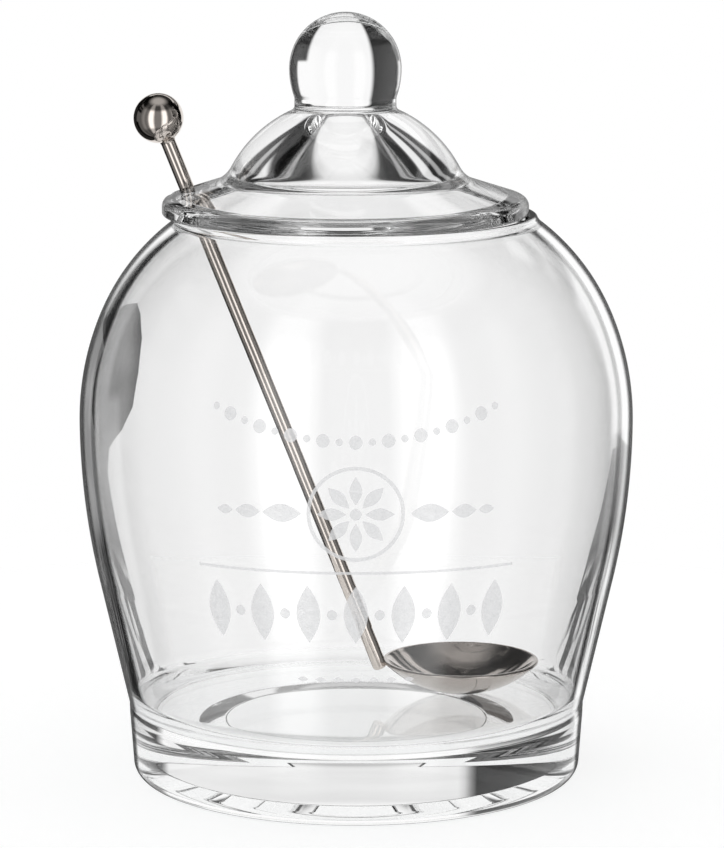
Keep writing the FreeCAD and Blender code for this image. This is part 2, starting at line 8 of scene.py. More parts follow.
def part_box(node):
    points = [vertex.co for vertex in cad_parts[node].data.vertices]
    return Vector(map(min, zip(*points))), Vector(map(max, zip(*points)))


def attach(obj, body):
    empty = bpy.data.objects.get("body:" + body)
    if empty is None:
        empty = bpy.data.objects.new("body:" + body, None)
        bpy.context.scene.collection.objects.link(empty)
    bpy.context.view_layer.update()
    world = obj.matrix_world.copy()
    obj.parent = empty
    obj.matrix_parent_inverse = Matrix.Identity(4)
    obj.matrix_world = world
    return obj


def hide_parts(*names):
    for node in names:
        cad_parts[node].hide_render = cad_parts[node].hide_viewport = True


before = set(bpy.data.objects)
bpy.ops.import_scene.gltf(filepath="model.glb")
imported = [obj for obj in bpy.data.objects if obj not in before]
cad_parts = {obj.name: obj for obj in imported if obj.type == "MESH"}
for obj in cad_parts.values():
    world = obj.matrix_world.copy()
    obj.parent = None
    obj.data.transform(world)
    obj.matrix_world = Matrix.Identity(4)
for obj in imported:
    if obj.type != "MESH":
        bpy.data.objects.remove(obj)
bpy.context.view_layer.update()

# Clear glass olive jar with a loose lid and a leaning steel spoon, in metres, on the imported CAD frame.

MM = 0.001
JAR_LOW, JAR_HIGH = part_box("jar")

# ---------------------------------------------------------------- outlines

# An arc next to a corner ends a few hundredths of a radian early, which leaves room for the corner's round.


def arc(centre, radius, start, end, step=0.6 * MM):
    """Points along an arc, from one angle to another, both ends included."""
    count = max(3, math.ceil(abs(end - start) * radius / step))
    return [
        (
            centre[0] + radius * math.cos(start + (end - start) * i / count),
            centre[1] + radius * math.sin(start + (end - start) * i / count),
        )
        for i in range(count + 1)
    ]


def line(start, end, step=1.2 * MM):
    """Points along a straight run, without its ends, closer together towards both of them."""
    length = math.dist(start, end)
    count = max(4, math.ceil(length / step))
    shares = [0.5 - 0.5 * math.cos(math.pi * i / count) for i in range(1, count)]
    return [(start[0] + (end[0] - start[0]) * t, start[1] + (end[1] - start[1]) * t) for t in shares]


def at(centre, radius, angle):
    return (centre[0] + radius * math.cos(angle), centre[1] + radius * math.sin(angle))


def angle_from(centre, point):
    return math.atan2(point[1] - centre[1], point[0] - centre[0])


def rounded(corner, before, after, radius):
    """A small round in the corner between two straight runs."""
    first = (Vector(before) - Vector(corner)).normalized()
    second = (Vector(after) - Vector(corner)).normalized()
    half = first.angle(second) / 2
    middle = Vector(corner) + (first + second).normalized() * radius / math.sin(half)
    start = Vector(corner) + first * radius / math.tan(half)
    end = Vector(corner) + second * radius / math.tan(half)
    start_angle, end_angle = angle_from(middle, start), angle_from(middle, end)
    while end_angle - start_angle > math.pi:
        end_angle -= 2 * math.pi
    while end_angle - start_angle < -math.pi:
        end_angle += 2 * math.pi
    return arc(middle, radius, start_angle, end_angle, 0.12 * MM)


def chain(*runs):
    """Joins runs of points and drops doubled ones."""
    points = []
    for run in runs:
        for point in run:
            if not points or math.dist(points[-1], point) > 0.001 * MM:
                points.append(point)
    return points


class JarForm:
    """The jar's half section, from the size of its solid."""

    belly = (JAR_HIGH.x - JAR_LOW.x) / 2
    height = JAR_HIGH.z
    belly_level = height - 46.4 * MM
    mouth = 40.7 * MM
    bore = mouth - 2.2 * MM
    lip_level = height - 1.2 * MM
    lip_slope = math.radians(54.25)
    base = 51.0 * MM
    crease = (base + 0.8 * MM, 15.8 * MM)
    taper_run = 31.8 * MM
    wall = 2.4 * MM
    foot_round = 3.4 * MM
    floor_level = 15.7 * MM
    floor_round = 7.0 * MM
    recess = {"outer": 36.0 * MM, "flat": 30.0 * MM, "rise": 2.0 * MM}
    recess_rounds = {"roof": 2 * MM, "ring": 1 * MM}
    crease_round, crease_room = 2.5 * MM, 1 * MM
    rim_round = 0.7 * MM

    def __init__(self):
        heading = (-math.sin(self.lip_slope), math.cos(self.lip_slope))
        across = (self.mouth - self.belly, self.lip_level - self.belly_level)
        bend = 2 - 2 * heading[1]
        reach = across[0] * heading[0] + across[1] * (1 + heading[1])
        tangent = (math.sqrt(reach**2 + bend * (across[0] ** 2 + across[1] ** 2)) - reach) / bend
        meet = (
            (self.belly + self.mouth - tangent * heading[0]) / 2,
            (self.belly_level + tangent + self.lip_level - tangent * heading[1]) / 2,
        )
        drawn_in, risen = self.belly - meet[0], meet[1] - self.belly_level
        self.upper = (drawn_in**2 + risen**2) / (2 * drawn_in)
        self.upper_centre = (self.belly - self.upper, self.belly_level)
        self.turn = angle_from(self.upper_centre, meet)
        self.shoulder = (meet[0] - self.mouth) / (math.cos(self.turn) - math.cos(self.lip_slope))
        self.shoulder_centre = at(meet, -self.shoulder, self.turn)
        swell, climb = self.belly - self.crease[0], self.belly_level - self.crease[1]
        self.lower = (swell**2 + climb**2 - self.taper_run**2) / (2 * swell)
        self.lower_centre = (self.belly - self.lower, self.belly_level)
        self.taper = angle_from(self.lower_centre, self.crease) + math.atan(self.taper_run / self.lower)

    def outside(self):
        """From the middle of the underside round the foot and up to the lip."""
        outer, flat, rise = self.recess["outer"], self.recess["flat"], self.recess["rise"]
        ring = self.recess_rounds["ring"]
        band_low = (self.base, self.foot_round)
        taper_top = at(self.lower_centre, self.lower, self.taper)
        foot_in = (self.base - self.foot_round, 0)
        return chain(
            [(0, rise)],
            line((0, rise), (flat, rise)),
            rounded((flat, rise), (0, rise), (outer, 0), self.recess_rounds["roof"]),
            rounded((outer, 0), (flat, rise), foot_in, ring),
            line((outer + ring, 0), foot_in),
            arc((self.base - self.foot_round, self.foot_round), self.foot_round, -math.pi / 2, 0, 0.25 * MM),
            line(band_low, (self.crease[0], self.crease[1] - self.crease_room)),
            rounded(self.crease, band_low, taper_top, self.crease_round),
            line((self.crease[0], self.crease[1] + self.crease_room), taper_top),
            arc(self.lower_centre, self.lower, self.taper, 0),
            arc(self.upper_centre, self.upper, 0, self.turn),
            arc(self.shoulder_centre, self.shoulder, self.turn, self.lip_slope - 0.02),
        )

    def outside_radius(self, level):
        """The outside radius at a height between the crease and the lip."""
        if level < at(self.lower_centre, self.lower, self.taper)[1]:
            top = at(self.lower_centre, self.lower, self.taper)
            share = (level - self.crease[1]) / (top[1] - self.crease[1])
            return self.crease[0] + (top[0] - self.crease[0]) * share
        if level < self.belly_level:
            return self.lower_centre[0] + math.sqrt(self.lower**2 - (level - self.belly_level) ** 2)
        if level < at(self.upper_centre, self.upper, self.turn)[1]:
            return self.upper_centre[0] + math.sqrt(self.upper**2 - (level - self.belly_level) ** 2)
        return self.shoulder_centre[0] + math.sqrt(self.shoulder**2 - (level - self.shoulder_centre[1]) ** 2)

    def section(self):
        """The whole closed section, round the rim and down the inside to the middle of the floor."""
        lip = (self.mouth, self.lip_level)
        top_out, top_in = (self.mouth, self.height), (self.bore, self.height)
        bore_angle = math.acos((self.bore - self.shoulder_centre[0]) / (self.shoulder - self.wall))
        bore_low = at(self.shoulder_centre, self.shoulder - self.wall, bore_angle)
        inner_foot = at(self.lower_centre, self.lower - self.wall, self.taper)
        along = (math.sin(self.taper), -math.cos(self.taper))
        round_level = self.floor_level + self.floor_round
        inward = (self.floor_round * math.cos(self.taper), self.floor_round * math.sin(self.taper))
        run = (round_level + inward[1] - inner_foot[1]) / along[1]
        round_centre = (inner_foot[0] + run * along[0] - inward[0], round_level)
        return chain(
            self.outside(),
            rounded(top_out, lip, top_in, self.rim_round),
            rounded(top_in, top_out, bore_low, self.rim_round),
            line((self.bore, self.height - self.rim_round), bore_low),
            arc(self.shoulder_centre, self.shoulder - self.wall, bore_angle, self.turn),
            arc(self.upper_centre, self.upper - self.wall, self.turn, 0),
            arc(self.lower_centre, self.lower - self.wall, 0, self.taper),
            line(inner_foot, at(round_centre, self.floor_round, self.taper)),
            arc(round_centre, self.floor_round, self.taper, -math.pi / 2, 0.4 * MM),
            line((round_centre[0], self.floor_level), (0, self.floor_level)),
            [(0, self.floor_level)],
        )


class LidForm:
    """The lid's half section, measured up from its seat."""

    flange = 41.15 * MM
    seat_round = 0.7 * MM
    edge_round = 2.2 * MM
    edge_level = 4.1 * MM
    slope = math.radians(18)
    sweep = 7.0 * MM
    dome = 29.1 * MM
    dome_centre = (0, -3.2 * MM)
    stem = 11.4 * MM
    knob = 12.55 * MM
    knob_centre = (0, 32.65 * MM)
    knob_flank = 19.0 * MM
    neck_round = 1.2 * MM
    seat_width = 5.4 * MM
    seat_inner_round = 1.2 * MM
    shift = 2.4 * MM
    notch_side = 1.82 * MM
    notch_end = 0.6 * MM
    hollow = (22.2 * MM, 5.8 * MM)
    hollow_slope = math.radians(48)
    hollow_curve = 55.0 * MM
    hollow_round = 4.0 * MM
    hollow_foot_round = 3 * MM

    def section(self):
        """From the middle of the hollow's roof down to the seat, round the edge and up to the knob's top."""
        edge_centre = (self.flange - self.edge_round, self.edge_level - self.edge_round)
        slope_angle = math.pi / 2 - self.slope
        slope_start = Vector(at(edge_centre, self.edge_round, slope_angle))
        normal = Vector((math.cos(slope_angle), math.sin(slope_angle)))
        uphill = Vector((-normal.y, normal.x))
        offset = slope_start + normal * self.sweep
        gap = offset - Vector(self.dome_centre)
        half = gap.dot(uphill)
        travel = -half - math.sqrt(half**2 - gap.length_squared + (self.dome + self.sweep) ** 2)
        sweep_centre = tuple(offset + uphill * travel)
        dome_low = angle_from(self.dome_centre, sweep_centre)
        dome_high = math.acos(self.stem / self.dome)
        flank_centre = (self.knob - self.knob_flank, self.knob_centre[1])
        flank_low = -math.acos((self.stem - flank_centre[0]) / self.knob_flank)
        neck = (at(self.dome_centre, self.dome, dome_high), at(flank_centre, self.knob_flank, flank_low))
        seat_inside = self.flange - self.seat_round - self.seat_width
        flank_start = math.pi / 2 - self.hollow_slope
        curve_centre = at(self.hollow, -self.hollow_curve, flank_start)
        roof_level = curve_centre[1] + math.sqrt((self.hollow_curve - self.hollow_round) ** 2 - curve_centre[0] ** 2)
        roof_start = angle_from(curve_centre, (0, roof_level))
        flank_next = at(curve_centre, self.hollow_curve, flank_start + 0.02)
        return chain(
            arc((0, roof_level), self.hollow_round, math.pi / 2, roof_start, 0.15 * MM),
            arc(curve_centre, self.hollow_curve, roof_start, flank_start + 0.03),
            rounded(self.hollow, flank_next, (seat_inside, 0), self.hollow_foot_round),
            rounded((seat_inside, 0), self.hollow, (self.flange, 0), self.seat_inner_round),
            line((seat_inside + self.seat_inner_round / 2, 0), (self.flange - self.seat_round, 0)),
            arc((self.flange - self.seat_round, self.seat_round), self.seat_round, -math.pi / 2, 0, 0.12 * MM),
            arc(edge_centre, self.edge_round, 0, slope_angle, 0.2 * MM),
            line(tuple(slope_start), tuple(slope_start + uphill * travel)),
            arc(sweep_centre, self.sweep, slope_angle + math.pi, dome_low + math.pi, 0.3 * MM),
            arc(self.dome_centre, self.dome, dome_low, dome_high - 0.03),
            rounded_neck(neck, self.dome_centre, self.neck_round),
            arc(flank_centre, self.knob_flank, flank_low + 0.04, 0),
            arc(self.knob_centre, self.knob, 0, math.pi / 2),
        )


def rounded_neck(neck, dome_centre, radius):
    """The short stem between the dome and the knob."""
    low, high = neck
    tangent = (low[0] + (low[1] - dome_centre[1]), low[1] - (low[0] - dome_centre[0]))
    return chain(rounded(low, tangent, high, radius), line((low[0], low[1] + radius), high), [high])


class SpoonForm:
    """Where the spoon stands: its round bowl rests on the floor and its rod leans on the mouth's inner edge.
    Its own frame has the middle of the bowl's ball as its origin."""

    bowl = 18.65 * MM
    depth = 7.8 * MM
    wall = 1.0 * MM
    rim_round = 0.3 * MM
    rod = 1.68 * MM
    rod_rise = 16.1 * MM
    own_lean = math.radians(22)
    overlap = 2.0 * MM
    set_out = bowl + 0.9 * MM
    room = 3.5 * MM
    offset = 9.1 * MM
    turn = math.radians(6.5)
    rest_gap = 0.3 * MM
    ball = 5.65 * MM

    def __init__(self, jar_form):
        self.curve = (self.bowl**2 + self.depth**2) / (2 * self.depth)
        self.rim_drop = self.curve - self.depth
        stand = jar_form.crease[0] - jar_form.wall - self.room - self.bowl
        reach = math.sqrt(stand**2 - self.offset**2)
        level = jar_form.floor_level + self.rest_gap + self.curve
        across = reach + math.sqrt(jar_form.bore**2 - self.offset**2)
        up = jar_form.height - level
        rod_distance = self.set_out * math.cos(self.own_lean) + self.rim_drop * math.sin(self.own_lean)
        held = rod_distance + self.rod + self.rest_gap
        self.lean = math.acos(held / math.hypot(across, up)) - math.atan2(up, across)
        turned = Matrix.Rotation(self.turn, 4, "Z")
        place = turned @ Vector((reach, self.offset, 0)) + Vector((0, 0, level))
        self.matrix = Matrix.Translation(place) @ turned @ Matrix.Rotation(self.own_lean - self.lean, 4, "Y")
        self.direction = Vector((-math.sin(self.own_lean), 0, math.cos(self.own_lean)))
        self.joint = Vector((-self.set_out, 0, -self.rim_drop))
        joint_level = (self.matrix @ self.joint).z
        self.rod_top = (jar_form.height + self.rod_rise - joint_level) / math.cos(self.lean)

    def rod_at(self, level):
        """The middle of the rod at a height over the jar's foot."""
        point = self.matrix @ self.joint
        heading = self.matrix.to_3x3() @ self.direction
        return point + heading * ((level - point.z) / heading.z)

    def bowl_section(self):
        """From the middle of the bowl's underside out to the rim and back to the middle of the inside."""
        inner = self.curve - self.wall
        rim, rim_in = -math.asin(self.rim_drop / self.curve), -math.asin(self.rim_drop / inner)
        out_edge, in_edge = at((0, 0), self.curve, rim), at((0, 0), inner, rim_in)
        before, after = at((0, 0), self.curve, rim - 0.1), at((0, 0), inner, rim_in - 0.1)
        return chain(
            arc((0, 0), self.curve, -math.pi / 2, rim - 0.03),
            rounded(out_edge, before, in_edge, self.rim_round),
            rounded(in_edge, out_edge, after, self.rim_round),
            arc((0, 0), inner, rim_in - 0.03, -math.pi / 2),
        )


# ---------------------------------------------------------------- meshes


def mesh_object(name, verts, faces):
    mesh = bpy.data.meshes.new(name)
    mesh.from_pydata(verts, [], faces)
    mesh.validate()
    mesh.polygons.foreach_set("use_smooth", [True] * len(mesh.polygons))
    piece = bpy.data.objects.new(name, mesh)
    bpy.context.collection.objects.link(piece)
    return piece


def spin(name, section, segments, centre=(0, 0, 0)):
    """Turns a half section, whose two ends lie on the axis, into a closed solid."""
    verts, rings = [], []
    for radius, level in section:
        if radius < 1e-6:
            rings.append([len(verts)])
            verts.append((centre[0], centre[1], centre[2] + level))
            continue
        ring = []
        for turn in range(segments):
            across, along = at(centre, radius, 2 * math.pi * turn / segments)
            ring.append(len(verts))
            verts.append((across, along, centre[2] + level))
        rings.append(ring)
    faces = []
    for low, high in zip(rings, rings[1:]):
        for turn in range(segments):
            after = (turn + 1) % segments
            if len(low) == 1:
                faces.append((low[0], high[after], high[turn]))
            elif len(high) == 1:
                faces.append((low[turn], low[after], high[0]))
            else:
                faces.append((low[turn], low[after], high[after], high[turn]))
    return mesh_object(name, verts, faces)


def outward(piece):
    """Turns all faces outward."""
    work = bmesh.new()
    work.from_mesh(piece.data)
    bmesh.ops.recalc_face_normals(work, faces=work.faces)
    work.to_mesh(piece.data)
    work.free()


def dress(piece, material, *nodes):
    """Rides a piece on the body, gives it its material and lets it stand for the nodes."""
    piece.data.materials.clear()
    piece.data.materials.append(material)
    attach(piece, "root")
    if nodes:
        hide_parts(*nodes)


# ---------------------------------------------------------------- materials

GLASS_IOR = 1.5
GLASS_BOUNCES = 32
GLASS_SHADOW = (0.95, 0.955, 0.955, 1)
SLANTED_ROUGHNESS = 0.012
# From the upper level down to the lower one, the jar's glass comes to read as thick at any slant.
BASE_ZONE = {"levels": (26 * MM, 16 * MM), "bend": (-0.2, -0.1)}
SMEARS = {"scale": 260, "detail": 4, "strength": 0.05, "height": 0.0005}
PRINT_WHITE = (0.97, 0.97, 0.98, 1)
PRINT_COVER = (0.4, 0.56)


def new_material(name):
    material = bpy.data.materials.new(name)
    material.use_nodes = True
    nodes = material.node_tree.nodes
    nodes.clear()
    out = nodes.new("ShaderNodeOutputMaterial")
    return material, nodes, material.node_tree.links, out


def math_node(nodes, links, operation, *values):
    """A Math node whose inputs are numbers or sockets."""
    node = nodes.new("ShaderNodeMath")
    node.operation = operation
    for socket, value in zip(node.inputs, values):
        if isinstance(value, (int, float)):
            socket.default_value = value
        else:
            links.new(value, socket)
    return node.outputs[0]


def ease(nodes, links, value, low, high, start=0.0, end=1.0):
    """Runs smoothly from start to end while the value runs from low to high."""
    node = nodes.new("ShaderNodeMapRange")
    node.interpolation_type = "SMOOTHSTEP"
    links.new(value, node.inputs["Value"])
    for name, number in (("From Min", low), ("From Max", high), ("To Min", start), ("To Max", end)):
        node.inputs[name].default_value = number
    return node.outputs["Result"]


def blend_by(nodes, links, first, second, share):
    """Runs from the first level to the second as the share runs from nothing to one."""
    change = math_node(nodes, links, "SUBTRACT", second, first)
    return math_node(nodes, links, "MULTIPLY_ADD", change, share, first)


def own_place(nodes):
    """The place on the piece, in its own frame."""
    return nodes.new("ShaderNodeTexCoord").outputs["Object"]


def noise(nodes, links, place, scale, detail):
    """An uneven pattern over a place."""
    texture = nodes.new("ShaderNodeTexNoise")
    texture.inputs["Scale"].default_value = scale
    texture.inputs["Detail"].default_value = detail
    links.new(place, texture.inputs["Vector"])
    return texture.outputs["Fac"]


def relief(nodes, links, pattern, strength, height):
    """The normal of a surface that rises by a pattern."""
    bump = nodes.new("ShaderNodeBump")
    bump.inputs["Strength"].default_value = strength
    bump.inputs["Distance"].default_value = height
    links.new(pattern, bump.inputs["Height"])
    return bump.outputs["Normal"]


def mixed(nodes, links, first, second, share):
    """Two shaders, the second one by its share."""
    mix = nodes.new("ShaderNodeMixShader")
    links.new(share, mix.inputs["Fac"])
    links.new(first.outputs[0], mix.inputs[1])
    links.new(second.outputs[0], mix.inputs[2])
    return mix


def crossing(nodes, links):
    """The sine at which light crosses the glass, measured in the air, and the same on the outer side alone."""
    facing = nodes.new("ShaderNodeLayerWeight")
    facing.inputs["Blend"].default_value = 0.5
    inner = nodes.new("ShaderNodeNewGeometry").outputs["Backfacing"]
    cosine = math_node(nodes, links, "SUBTRACT", 1.0, facing.outputs["Facing"])
    square = math_node(nodes, links, "MULTIPLY", cosine, cosine)
    sine = math_node(nodes, links, "SQRT", math_node(nodes, links, "SUBTRACT", 1.0, square))
    spread = math_node(nodes, links, "MULTIPLY_ADD", inner, GLASS_IOR - 1.0, 1.0)
    slant = math_node(nodes, links, "MULTIPLY", sine, spread)
    return slant, math_node(nodes, links, "MULTIPLY", sine, math_node(nodes, links, "SUBTRACT", 1.0, inner))


def glass_material(name, bend, edge, wave_scale, wave_height, zone=None):
    """Clear glass, slightly wavy. Where light crosses it at a slant it is a touch rougher, which the studio
    reads as seen through thick glass. The slant is given as two sines, and a zone by height may have its own.
    The edge gives the slants over which its outside is darkened by painted shade, and how dark that painted shade
    gets. Its shadows are pale."""
    material, nodes, links, out = new_material(name)
    place = own_place(nodes)
    normal = relief(nodes, links, noise(nodes, links, place, wave_scale, 1.5), 1.0, wave_height)
    slant, outer = crossing(nodes, links)
    # Painted shade: the glass colour darkens towards grazing slants on its outer side, a dark outline painted in.
    painted_edge_shade = ease(nodes, links, outer, edge["from"], edge["to"], 1.0, edge["painted_edge_shade"])

    def glass(roughness):
        shader = nodes.new("ShaderNodeBsdfGlass")
        shader.distribution = "BECKMANN"
        links.new(painted_edge_shade, shader.inputs["Color"])
        shader.inputs["Roughness"].default_value = roughness
        shader.inputs["IOR"].default_value = GLASS_IOR
        links.new(normal, shader.inputs["Normal"])
        return shader

    bent = ease(nodes, links, slant, *bend)
    if zone:
        height = nodes.new("ShaderNodeSeparateXYZ")
        links.new(place, height.inputs["Vector"])
        in_zone = ease(nodes, links, height.outputs["Z"], *zone["levels"])
        bent = blend_by(nodes, links, bent, ease(nodes, links, slant, *zone["bend"]), in_zone)
    body = mixed(nodes, links, glass(0.0), glass(SLANTED_ROUGHNESS), bent)

    rays = nodes.new("ShaderNodeLightPath")
    clear = nodes.new("ShaderNodeBsdfTransparent")
    clear.inputs["Color"].default_value = GLASS_SHADOW
    for_shadow = math_node(nodes, links, "MAXIMUM", rays.outputs["Is Shadow Ray"], rays.outputs["Is Diffuse Ray"])
    links.new(mixed(nodes, links, body, clear, for_shadow).outputs[0], out.inputs["Surface"])
    return material


def steel_material(name, color, gloss_from, gloss_to):
    """Stainless steel with a faint uneven gloss."""
    material, nodes, links, out = new_material(name)
    shader = nodes.new("ShaderNodeBsdfPrincipled")
    shader.inputs["Base Color"].default_value = color
    shader.inputs["Metallic"].default_value = 1.0
    smears = noise(nodes, links, own_place(nodes), SMEARS["scale"], SMEARS["detail"])
    gloss = nodes.new("ShaderNodeMapRange")
    gloss.inputs["To Min"].default_value = gloss_from
    gloss.inputs["To Max"].default_value = gloss_to
    links.new(smears, gloss.inputs["Value"])
    links.new(gloss.outputs["Result"], shader.inputs["Roughness"])
    normal = relief(nodes, links, smears, SMEARS["strength"], SMEARS["height"])
    links.new(normal, shader.inputs["Normal"])
    links.new(shader.outputs["BSDF"], out.inputs["Surface"])
    return material


def frost_material(name):
    """A pale frosted print with a fine uneven grain, which lets some light through."""
    material, nodes, links, out = new_material(name)
    grain = noise(nodes, links, own_place(nodes), 900, 3)
    white = nodes.new("ShaderNodeBsdfDiffuse")
    white.inputs["Color"].default_value = PRINT_WHITE
    through = nodes.new("ShaderNodeBsdfTransparent")
    cover = ease(nodes, links, grain, 0.3, 0.7, *PRINT_COVER)
    links.new(mixed(nodes, links, through, white, cover).outputs[0], out.inputs["Surface"])
    return material


# ---------------------------------------------------------------- pieces


def crisp(piece, angle=math.radians(35)):
    """Keeps the shading smooth, but for edges sharper than this."""
    work = bmesh.new()
    work.from_mesh(piece.data)
    for edge in work.edges:
        edge.smooth = len(edge.link_faces) == 2 and edge.calc_face_angle() < angle
    work.to_mesh(piece.data)
    work.free()


def cut_away(piece, tool):
    """Cuts one solid out of another and throws the tool away."""
    cut = piece.modifiers.new("cut", "BOOLEAN")
    cut.operation = "DIFFERENCE"
    cut.solver = "EXACT"
    cut.object = tool
    bpy.context.view_layer.update()
    whole = bpy.data.meshes.new_from_object(piece.evaluated_get(bpy.context.evaluated_depsgraph_get()))
    piece.modifiers.clear()
    piece.data = whole
    bpy.data.objects.remove(tool)


def prism(name, outline, low, high):
    """An upright solid over a closed outline."""
    count = len(outline)
    verts = [(x, y, level) for level in (low, high) for x, y in outline]
    faces = [tuple(reversed(range(count))), tuple(range(count, 2 * count))]
    faces += [(i, (i + 1) % count, count + (i + 1) % count, count + i) for i in range(count)]
    return mesh_object(name, verts, faces)


def make_jar():
    piece = spin("jar_glass", JAR.section(), 192)
    outward(piece)
    dress(piece, JAR_GLASS, "jar")


def make_lid():
    """The lid, with the notch that the spoon's rod comes out through."""
    centre = Vector((-LidForm.shift, 0, JAR.height))
    piece = spin("lid_glass", LidForm().section(), 224, centre)
    outward(piece)
    foot = SPOON.rod_at(JAR.height) - centre
    heading = math.atan2(foot.y, foot.x)
    half = SPOON.rod + LidForm.notch_side
    end = math.hypot(foot.x, foot.y) - SPOON.rod / math.cos(SPOON.lean) - LidForm.notch_end + half
    far = LidForm.flange + half
    outline = arc((end, 0), half, math.pi / 2, 3 * math.pi / 2, 0.5 * MM) + [(far, -half), (far, half)]
    turned = Matrix.Rotation(heading, 2)
    placed = [tuple(turned @ Vector(point) + centre.xy) for point in outline]
    cut_away(piece, prism("notch_tool", placed, centre.z - 2 * MM, centre.z + 20 * MM))
    crisp(piece)
    dress(piece, LID_GLASS, "lid")


def make_bowl():
    piece = spin("spoon_bowl_steel", SPOON.bowl_section(), 128)
    piece.data.transform(SPOON.matrix)
    outward(piece)
    dress(piece, SHADED_BOWL_STEEL, "spoon_bowl")


def make_rod():
    """The rod, seated on the outside of the bowl, with a little weld under the ball."""
    end_round, weld_run, weld_out, weld_steps = 0.8 * MM, 0.9 * MM, 0.32 * MM, 6
    low, high = -SPOON.overlap, SPOON.rod_top + 0.2 * MM
    runs = [(0, low)]
    runs += arc((SPOON.rod - end_round, low + end_round), end_round, -math.pi / 2, 0, 0.15 * MM)
    runs += line((SPOON.rod, low + end_round), (SPOON.rod, high - weld_run), 4 * MM)
    for step in range(weld_steps + 1):
        share = step / weld_steps
        runs.append((SPOON.rod + weld_out * share**2, high - weld_run * (1 - share)))
    runs += [(0, high)]
    piece = spin("spoon_rod_steel", runs, 40)
    turn = Vector((0, 0, 1)).rotation_difference(SPOON.direction).to_matrix().to_4x4()
    piece.data.transform(Matrix.Translation(SPOON.joint) @ turn)
    seat = SPOON.curve - 0.2 * MM
    for vert in piece.data.vertices:
        point = vert.co
        if point.z < -SPOON.rim_drop + 0.3 * MM and point.length < seat:
            along = point.dot(SPOON.direction)
            vert.co = point + SPOON.direction * (math.sqrt(along**2 - point.length_squared + seat**2) - along)
    piece.data.transform(SPOON.matrix)
    outward(piece)
    crisp(piece)
    dress(piece, STEEL, "spoon_rod")


def make_ball():
    sink = math.sqrt(SPOON.ball**2 - SPOON.rod**2)
    centre = SPOON.matrix @ (SPOON.joint + SPOON.direction * (SPOON.rod_top + sink))
    piece = spin("spoon_ball_steel", arc((0, 0), SPOON.ball, -math.pi / 2, math.pi / 2, 0.35 * MM), 96, centre)
    outward(piece)
    dress(piece, STEEL, "spoon_ball")


class Ornament:
    """Frosted strokes fired onto the jar's front, drawn in millimetres round the jar and up from its foot.
    The reach is the radius at which a length across the drawing is true."""

    depth, thickness = 0.03 * MM, 0.05 * MM
    reach = 61.5
    leaf_steps = 12

    def __init__(self):
        self.verts, self.faces = [], []

    def place(self, across, up, sunk):
        turn = across / self.reach
        radius = JAR.outside_radius(up * MM) - sunk
        return (radius * math.sin(turn), -radius * math.cos(turn), up * MM)

    def stroke(self, points, widths):
        """A flat stroke along a path, as wide each way at each point as its width says."""
        start = len(self.verts)
        for index, (point, width) in enumerate(zip(points, widths)):
            before, after = points[max(index - 1, 0)], points[min(index + 1, len(points) - 1)]
            heading = (Vector(after) - Vector(before)).normalized()
            for side in (-1, 0, 1):
                spot = Vector(point) + Vector((-heading.y, heading.x)) * side * width
                for sunk in (self.depth, self.depth + self.thickness):
                    self.verts.append(self.place(spot.x, spot.y, sunk))
        for step in range(len(points) - 1):
            low, high = start + 6 * step, start + 6 * step + 6
            for side in (0, 2):
                self.faces.append((low + side, low + side + 2, high + side + 2, high + side))
                self.faces.append((low + side + 1, high + side + 1, high + side + 3, low + side + 3))
            self.faces.append((low, high, high + 1, low + 1))
            self.faces.append((low + 4, low + 5, high + 5, high + 4))
        for end in (start, start + 6 * (len(points) - 1)):
            self.faces.append((end, end + 2, end + 3, end + 1))
            self.faces.append((end + 2, end + 4, end + 5, end + 3))

    def leaf(self, tail, tip, width, fullness=1.0):
        """A pointed shape from tail to tip."""
        shares = [step / self.leaf_steps for step in range(self.leaf_steps + 1)]
        points = [tuple(Vector(tail).lerp(Vector(tip), share)) for share in shares]
        self.stroke(points, [max(width * math.sin(math.pi * share) ** fullness, 0.02) for share in shares])

    def dot(self, across, up, radius):
        self.leaf((across - radius, up), (across + radius, up), radius, 0.55)

    def line(self, points, width):
        self.stroke(points, [width] * len(points))

    def ring(self, across, up, radius, width, count=48):
        turns = [2 * math.pi * i / count for i in range(count + 1)]
        self.line([(across + radius * math.cos(turn), up + radius * math.sin(turn)) for turn in turns], width)


def make_ornament():
    """A rosette between lozenges, a hanging string of beads above and a border of lozenges below."""
    work = Ornament()
    rosette, swag, rule, border, dashes = 72.0, 87.5, 59.0, 49.5, 34.5
    beads, lozenges, petals = range(-9, 10), range(-3, 4), 8
    work.dot(0.0, rosette, 1.3)
    for petal in range(petals):
        turn = 2 * math.pi * petal / petals
        way, centre = Vector((math.cos(turn), math.sin(turn))), Vector((0.0, rosette))
        work.leaf(tuple(centre + way * 2.0), tuple(centre + way * 8.2), 1.35)
    work.ring(0.0, rosette, 10.0, 0.4)
    for side in (-1, 1):
        for across, half, width in ((15.8, 4.2, 2.0), (23.4, 2.8, 1.5), (28.6, 1.8, 1.0)):
            work.leaf((side * (across - half), rosette), (side * (across + half), rosette), width, 0.9)
    for bead in beads:
        share = bead / beads[-1]
        work.dot(31.0 * share, swag + 6.5 * share**2, 1.5 - 0.7 * (bead % 2))
    work.line([(3.0 * step, rule) for step in range(-12, 13)], 0.3)
    for step in lozenges:
        across = 10.6 * step
        work.leaf((across, border - 6.5), (across, border + 6.5), 2.7, 0.9)
        if step < lozenges[-1]:
            work.dot(across + 5.3, border, 1.2)
    for step in lozenges:
        work.leaf((4.2 * step - 1.3, dashes), (4.2 * step + 1.3, dashes), 0.55)
    piece = mesh_object("jar_ornament", work.verts, work.faces)
    piece.data.polygons.foreach_set("use_smooth", [False] * len(piece.data.polygons))
    dress(piece, FROST)
